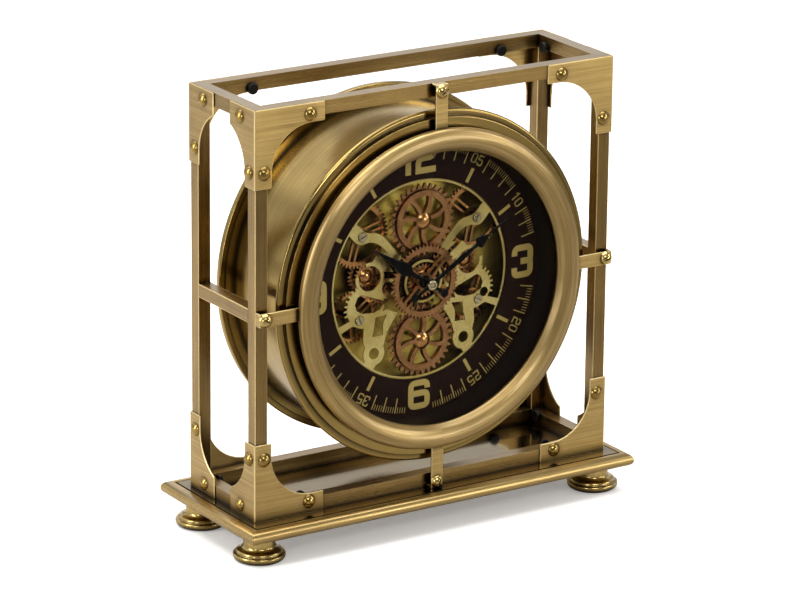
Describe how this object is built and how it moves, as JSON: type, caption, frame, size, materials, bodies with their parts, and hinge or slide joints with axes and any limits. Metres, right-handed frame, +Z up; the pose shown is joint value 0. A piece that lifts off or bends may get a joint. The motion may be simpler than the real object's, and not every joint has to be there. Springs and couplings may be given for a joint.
{
  "type": "table clock",
  "caption": "Table clock with a glazed drum and skeleton gear dial hung in an open square-tube frame on a moulded base with turned feet.",
  "frame": {"origin": "on the table plane, below the middle of the clock", "axes": "+Z up, the dial faces -Y, +X to the right as seen from the front"},
  "size_m": [0.327, 0.13, 0.3292],
  "materials": {
    "antique_brass": "brushed antique brass",
    "polished_brass": "polished brass",
    "plate_brass": "matte stamped brass",
    "copper": "satin copper plate",
    "dark_bronze": "dark bronze",
    "black_metal": "black",
    "dial_paint": "dark brown satin paint",
    "hand_paint": "black gloss",
    "steel": "satin steel",
    "glass": "clear",
    "black_plastic": "black",
    "battery_wrap": "plain grey wrap"
  },
  "bodies": {
    "clock_case": {"base_moulding": "antique_brass", "base_plate": "polished_brass", "feet": "polished_brass", "foot_screws": "steel", "post_front_left": "antique_brass", "post_front_right": "antique_brass", "post_rear_left": "antique_brass", "post_rear_right": "antique_brass", "top_rail_front": "antique_brass", "top_rail_rear": "antique_brass", "top_side_rails": "antique_brass", "bottom_rail_front": "antique_brass", "bottom_rail_rear": "antique_brass", "bottom_side_rails": "antique_brass", "middle_side_rails": "antique_brass", "upper_gussets": "antique_brass", "lower_gussets": "antique_brass", "gusset_rivets": "polished_brass", "gusset_nuts": "black_metal", "hanger_strips": "antique_brass", "hanger_screws": "polished_brass", "hanger_spacers": "black_metal", "bezel": "antique_brass", "glass": "glass", "rehaut": "black_metal", "drum_case": "antique_brass", "rear_cover": "antique_brass", "cover_screws": "steel", "dial_ring": "dial_paint", "skeleton_plate": "plate_brass", "plate_screws": "steel", "back_plate": "polished_brass", "gear_posts": "polished_brass", "movement": "black_plastic", "gear_motor": "steel", "battery_box": "black_plastic", "batteries": "battery_wrap"},
    "centre_gears": {"centre_drive_gear": "dark_bronze", "centre_pinion": "copper", "centre_ring_gear": "copper", "centre_arc_ring": "plate_brass"},
    "top_gear": {"top_gear": "copper"},
    "bottom_gear": {"bottom_gear": "copper"},
    "idler_left": {"idler_gear_left": "copper"},
    "idler_right": {"idler_gear_right": "copper"},
    "relay_left": {"relay_gear_left": "copper"},
    "relay_right": {"relay_gear_right": "copper"},
    "upper_left": {"upper_gear_left": "copper"},
    "upper_right": {"upper_gear_right": "copper"},
    "lower_left": {"lower_gear_left": "copper"},
    "lower_right": {"lower_gear_right": "copper"},
    "motor_pinion": {"motor_pinion": "copper"},
    "minute_hand": {"minute_hand": "hand_paint", "minute_shaft": "plate_brass", "hand_cap": "plate_brass"},
    "hour_hand": {"hour_hand": "hand_paint", "hour_pipe": "plate_brass"},
    "set_knob": {"set_knob": "black_plastic"},
    "battery_cover": {"battery_cover": "black_plastic"},
    "power_switch": {"power_switch": "black_plastic"}
  },
  "joints": [
    {"name": "centre_spin", "type": "hinge", "parent": "clock_case", "child": "centre_gears", "pos_m": [0, 0, 0.179], "axis": [0, 1, 0], "continuous": true},
    {"name": "top_spin", "type": "hinge", "parent": "clock_case", "child": "top_gear", "pos_m": [0, 0, 0.2238], "axis": [0, 1, 0], "continuous": true},
    {"name": "bottom_spin", "type": "hinge", "parent": "clock_case", "child": "bottom_gear", "pos_m": [0, 0, 0.1342], "axis": [0, 1, 0], "continuous": true},
    {"name": "idler_left_spin", "type": "hinge", "parent": "clock_case", "child": "idler_left", "pos_m": [-0.02686, 0, 0.17627], "axis": [0, 1, 0], "continuous": true},
    {"name": "idler_right_spin", "type": "hinge", "parent": "clock_case", "child": "idler_right", "pos_m": [0.02686, 0, 0.17627], "axis": [0, 1, 0], "continuous": true},
    {"name": "relay_left_spin", "type": "hinge", "parent": "clock_case", "child": "relay_left", "pos_m": [-0.04201, 0, 0.186], "axis": [0, 1, 0], "continuous": true},
    {"name": "relay_right_spin", "type": "hinge", "parent": "clock_case", "child": "relay_right", "pos_m": [0.04201, 0, 0.186], "axis": [0, 1, 0], "continuous": true},
    {"name": "upper_left_spin", "type": "hinge", "parent": "clock_case", "child": "upper_left", "pos_m": [-0.04849, 0, 0.21785], "axis": [0, 1, 0], "continuous": true},
    {"name": "upper_right_spin", "type": "hinge", "parent": "clock_case", "child": "upper_right", "pos_m": [0.04849, 0, 0.21785], "axis": [0, 1, 0], "continuous": true},
    {"name": "lower_left_spin", "type": "hinge", "parent": "clock_case", "child": "lower_left", "pos_m": [-0.05055, 0, 0.1562], "axis": [0, 1, 0], "continuous": true},
    {"name": "lower_right_spin", "type": "hinge", "parent": "clock_case", "child": "lower_right", "pos_m": [0.05055, 0, 0.1562], "axis": [0, 1, 0], "continuous": true},
    {"name": "motor_spin", "type": "hinge", "parent": "clock_case", "child": "motor_pinion", "pos_m": [0.03644, 0, 0.13678], "axis": [0, 1, 0], "continuous": true},
    {"name": "minute_turn", "type": "hinge", "parent": "clock_case", "child": "minute_hand", "pos_m": [0, 0, 0.179], "axis": [0, 1, 0], "continuous": true},
    {"name": "hour_turn", "type": "hinge", "parent": "clock_case", "child": "hour_hand", "pos_m": [0, 0, 0.179], "axis": [0, 1, 0], "continuous": true},
    {"name": "set_knob_turn", "type": "hinge", "parent": "clock_case", "child": "set_knob", "pos_m": [0.014, 0, 0.165], "axis": [0, 1, 0], "continuous": true},
    {"name": "battery_cover_lift", "type": "slide", "parent": "clock_case", "child": "battery_cover", "axis": [0, 1, 0], "range_m": [0, 0.04]},
    {"name": "power_switch_slide", "type": "slide", "parent": "clock_case", "child": "power_switch", "axis": [1, 0, 0], "range_m": [0, 0.004]}
  ],
  "couplings": [
    {"joint": "top_spin", "follows": "centre_spin", "ratio": -0.75},
    {"joint": "bottom_spin", "follows": "centre_spin", "ratio": -0.75},
    {"joint": "idler_left_spin", "follows": "centre_spin", "ratio": -0.8},
    {"joint": "idler_right_spin", "follows": "centre_spin", "ratio": -0.8},
    {"joint": "relay_left_spin", "follows": "centre_spin", "ratio": 0.4},
    {"joint": "relay_right_spin", "follows": "centre_spin", "ratio": 0.4},
    {"joint": "upper_left_spin", "follows": "centre_spin", "ratio": -0.14167},
    {"joint": "upper_right_spin", "follows": "centre_spin", "ratio": -0.14167},
    {"joint": "lower_left_spin", "follows": "centre_spin", "ratio": -0.25263},
    {"joint": "lower_right_spin", "follows": "centre_spin", "ratio": -0.25263},
    {"joint": "motor_spin", "follows": "centre_spin", "ratio": 0.96},
    {"joint": "hour_turn", "follows": "minute_turn", "ratio": 0.083333},
    {"joint": "set_knob_turn", "follows": "minute_turn", "ratio": -1}
  ]
}
